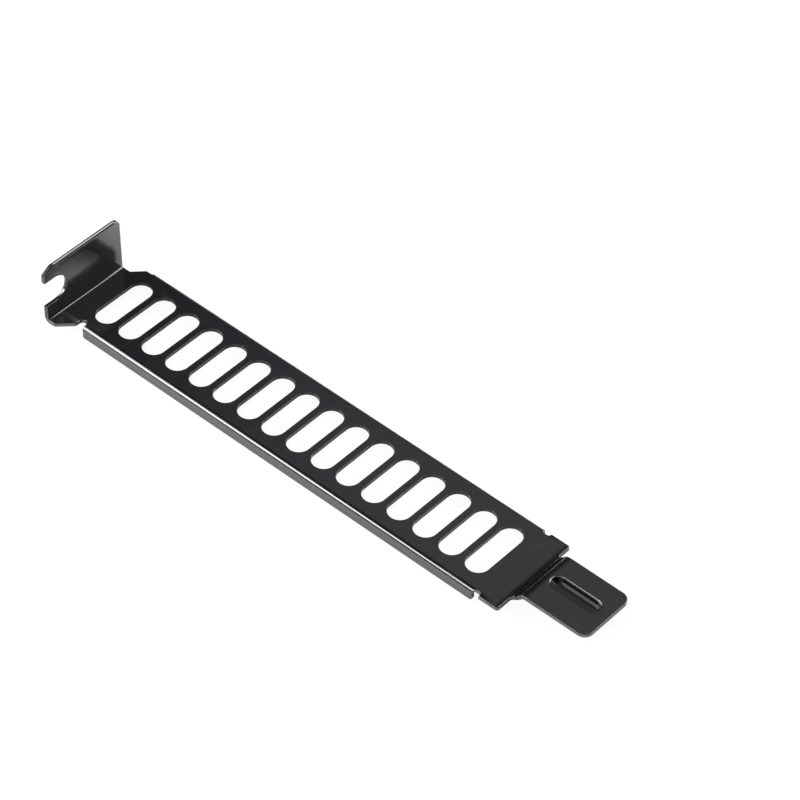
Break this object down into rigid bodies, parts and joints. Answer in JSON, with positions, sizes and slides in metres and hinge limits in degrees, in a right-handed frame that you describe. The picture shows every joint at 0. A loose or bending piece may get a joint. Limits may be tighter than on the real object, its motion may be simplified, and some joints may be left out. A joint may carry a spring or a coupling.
{
  "type": "slot cover bracket",
  "caption": "Black folded steel cover for a computer case's expansion slot, with a row of vent slots, a notched screw tab, two side flanges and a stepped tongue.",
  "frame": {"origin": "on the cover's outer face, in the middle of the row of vent slots", "axes": "+X along the cover from the screw tab to the tongue, +Z out of the outer face, on the side that the tab stands on, and +Y across the cover, away from the tab's overhang"},
  "size_m": [0.12, 0.0215, 0.0142],
  "materials": {
    "black_coat": "smooth semi-gloss black coating on 0.8 mm steel sheet"
  },
  "bodies": {
    "root": {"slot_cover": "black_coat"}
  },
  "joints": []
}
